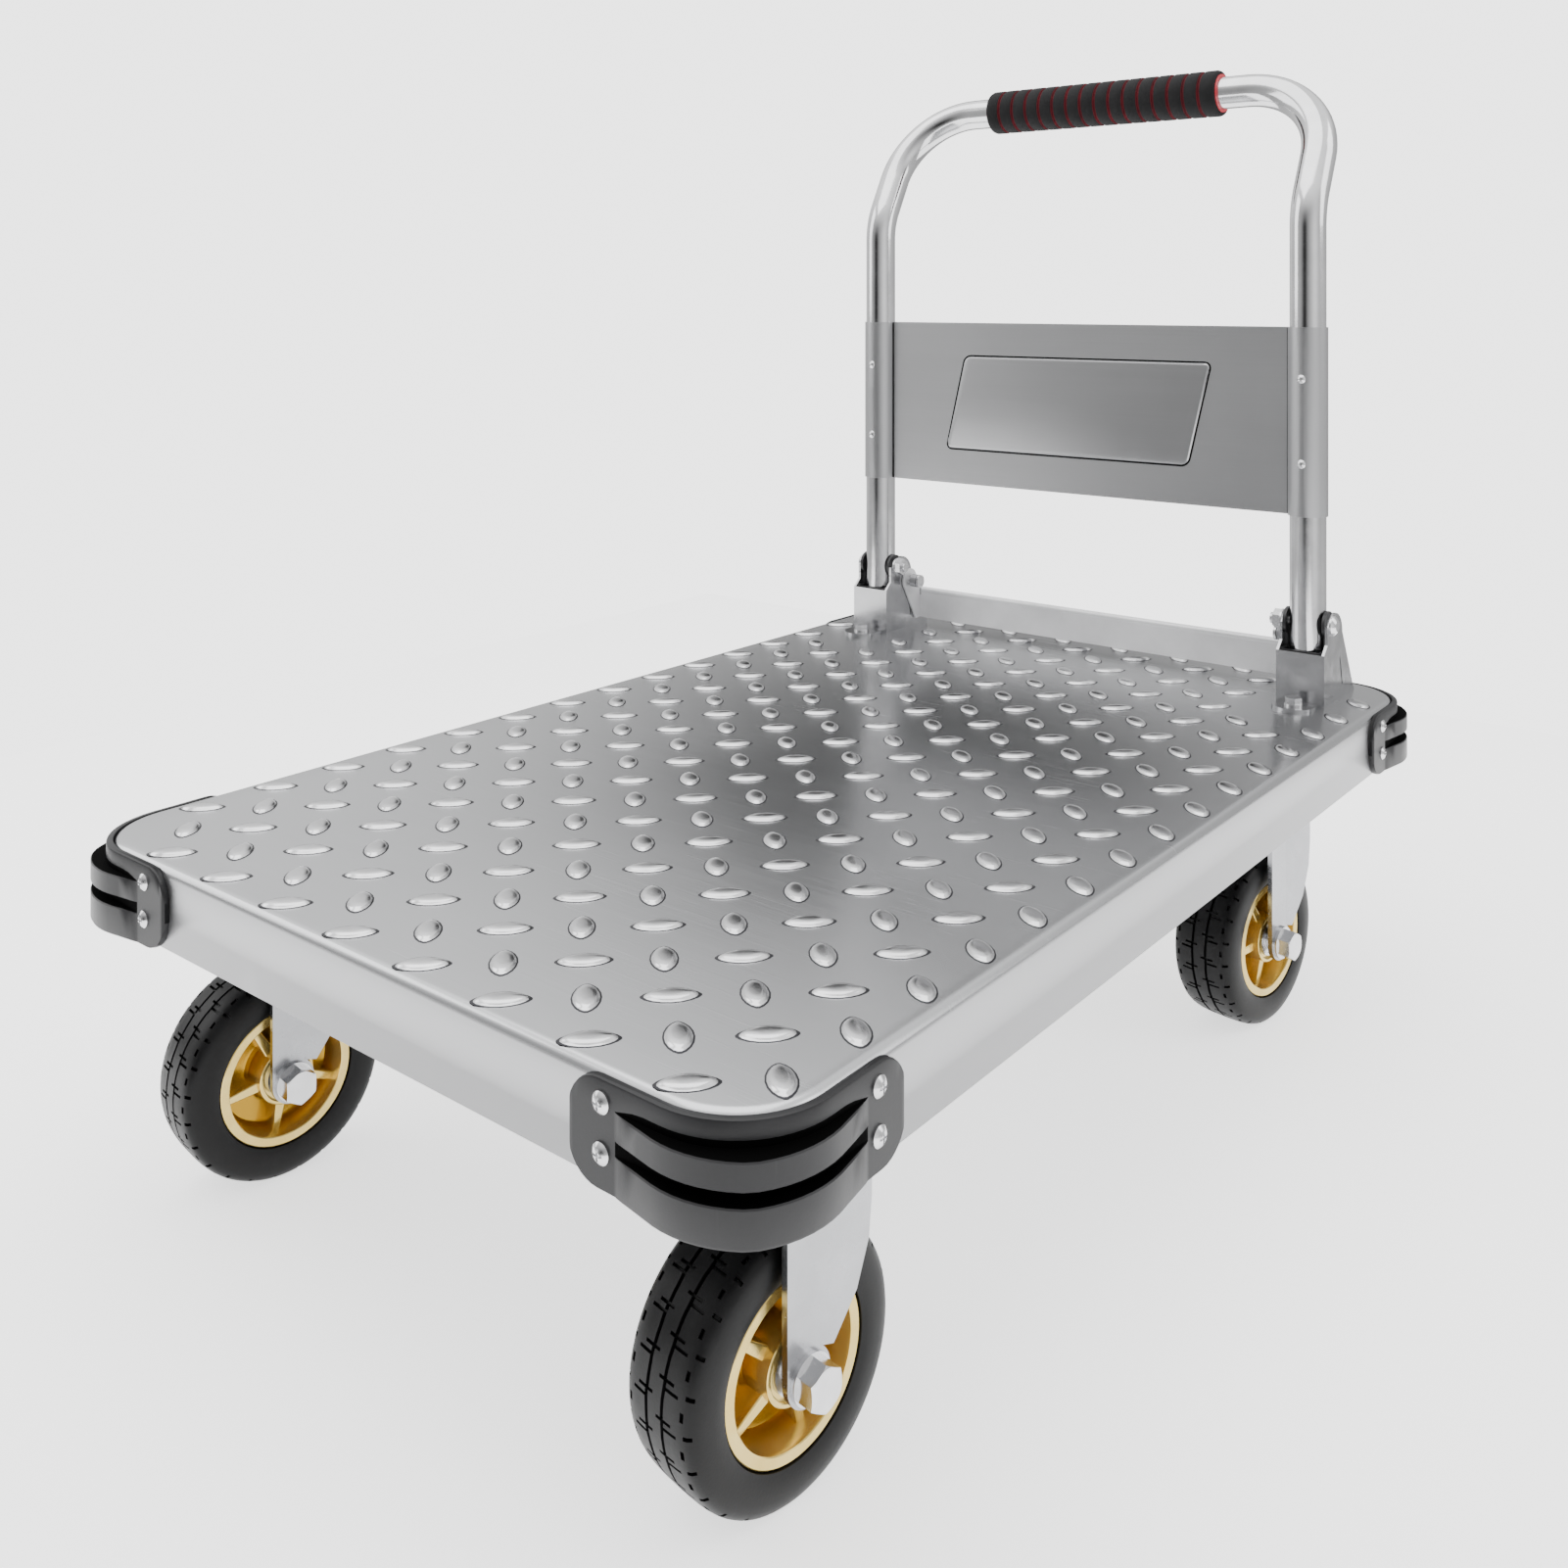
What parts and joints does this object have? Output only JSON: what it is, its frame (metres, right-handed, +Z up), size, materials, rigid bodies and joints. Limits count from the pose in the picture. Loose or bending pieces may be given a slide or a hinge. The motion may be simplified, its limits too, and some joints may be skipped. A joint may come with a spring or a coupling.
{
  "type": "flatbed platform truck",
  "caption": "Flatbed platform truck with a treaded steel deck, folding tubular handle with panel, corner bumpers and swivel casters.",
  "frame": {"origin": "on the floor under the centre of the deck", "axes": "+Z up, +Y along the deck towards the handle end, +X across the deck"},
  "size_m": [0.622, 0.972, 0.8433],
  "materials": {
    "deck_steel": "satin, brushed",
    "frame_steel": "dark grey, satin",
    "bumper_black": "moulded, satin",
    "chrome_tube": "polished",
    "panel_steel": "satin, brushed",
    "foam_black": "soft foam, matte",
    "grip_red": "satin",
    "bright_zinc": "bright zinc",
    "caster_zinc": "pressed, zinc plated",
    "spring_steel": "dull steel",
    "black_plastic": "satin",
    "pedal_paint": "satin",
    "rim_gold": "moulded, semi-gloss",
    "tyre_black": "block tread"
  },
  "bodies": {
    "deck": {"deck_pan": "deck_steel", "rail_left": "frame_steel", "rail_right": "frame_steel", "cross_front": "frame_steel", "cross_rear": "frame_steel", "bumper_fl": "bumper_black", "bumper_fr": "bumper_black", "bumper_rl": "bumper_black", "bumper_rr": "bumper_black", "bumper_screws": "bright_zinc", "bracket_left": "bright_zinc", "bracket_right": "bright_zinc", "bracket_bolts": "bright_zinc", "liner_left": "black_plastic", "liner_right": "black_plastic", "pivot_bolts": "bright_zinc", "pivot_nuts": "bright_zinc", "pedal_pins": "bright_zinc", "pedal_springs": "spring_steel", "plate_fl": "caster_zinc", "plate_fr": "caster_zinc", "plate_rl": "caster_zinc", "plate_rr": "caster_zinc", "plate_bolts": "bright_zinc", "kingpins": "spring_steel", "swivel_balls": "bright_zinc"},
    "handle": {"handle_tube": "chrome_tube", "panel": "panel_steel", "panel_rivets": "bright_zinc", "grip_foam": "foam_black", "grip_liner": "grip_red"},
    "pedal": {"pedal": "pedal_paint"},
    "swivel_fl": {"fork_fl": "caster_zinc", "axle_fl": "bright_zinc", "nut_fl": "bright_zinc", "spacers_fl": "bright_zinc"},
    "wheel_fl": {"rim_fl": "rim_gold", "tyre_fl": "tyre_black", "bearings_fl": "bright_zinc"},
    "swivel_fr": {"fork_fr": "caster_zinc", "axle_fr": "bright_zinc", "nut_fr": "bright_zinc", "spacers_fr": "bright_zinc"},
    "wheel_fr": {"rim_fr": "rim_gold", "tyre_fr": "tyre_black", "bearings_fr": "bright_zinc"},
    "swivel_rl": {"fork_rl": "caster_zinc", "axle_rl": "bright_zinc", "nut_rl": "bright_zinc", "spacers_rl": "bright_zinc"},
    "wheel_rl": {"rim_rl": "rim_gold", "tyre_rl": "tyre_black", "bearings_rl": "bright_zinc"},
    "swivel_rr": {"fork_rr": "caster_zinc", "axle_rr": "bright_zinc", "nut_rr": "bright_zinc", "spacers_rr": "bright_zinc"},
    "wheel_rr": {"rim_rr": "rim_gold", "tyre_rr": "tyre_black", "bearings_rr": "bright_zinc"}
  },
  "joints": [
    {"name": "handle_fold", "type": "hinge", "parent": "deck", "child": "handle", "pos_m": [0, 0.389, 0.32], "axis": [1, 0, 0], "range_deg": [0, 95]},
    {"name": "pedal_press", "type": "hinge", "parent": "deck", "child": "pedal", "pos_m": [0, 0.411, 0.302], "axis": [1, 0, 0], "range_deg": [0, 25], "stiffness_Nm_per_rad": 1.2, "springref_deg": -8.59},
    {"name": "swivel_fl", "type": "hinge", "parent": "deck", "child": "swivel_fl", "pos_m": [-0.227, -0.336, 0.19], "axis": [0, 0, 1], "continuous": true},
    {"name": "wheel_fl", "type": "hinge", "parent": "swivel_fl", "child": "wheel_fl", "pos_m": [-0.23229, -0.37363, 0.072], "axis": [0.9903, -0.1392, 0], "continuous": true},
    {"name": "swivel_fr", "type": "hinge", "parent": "deck", "child": "swivel_fr", "pos_m": [0.227, -0.336, 0.19], "axis": [0, 0, 1], "continuous": true},
    {"name": "wheel_fr", "type": "hinge", "parent": "swivel_fr", "child": "wheel_fr", "pos_m": [0.22171, -0.37363, 0.072], "axis": [0.9903, -0.1392, 0], "continuous": true},
    {"name": "swivel_rl", "type": "hinge", "parent": "deck", "child": "swivel_rl", "pos_m": [-0.227, 0.315, 0.19], "axis": [0, 0, 1], "continuous": true},
    {"name": "wheel_rl", "type": "hinge", "parent": "swivel_rl", "child": "wheel_rl", "pos_m": [-0.23229, 0.27737, 0.072], "axis": [0.9903, -0.1392, 0], "continuous": true},
    {"name": "swivel_rr", "type": "hinge", "parent": "deck", "child": "swivel_rr", "pos_m": [0.227, 0.315, 0.19], "axis": [0, 0, 1], "continuous": true},
    {"name": "wheel_rr", "type": "hinge", "parent": "swivel_rr", "child": "wheel_rr", "pos_m": [0.22171, 0.27737, 0.072], "axis": [0.9903, -0.1392, 0], "continuous": true}
  ]
}
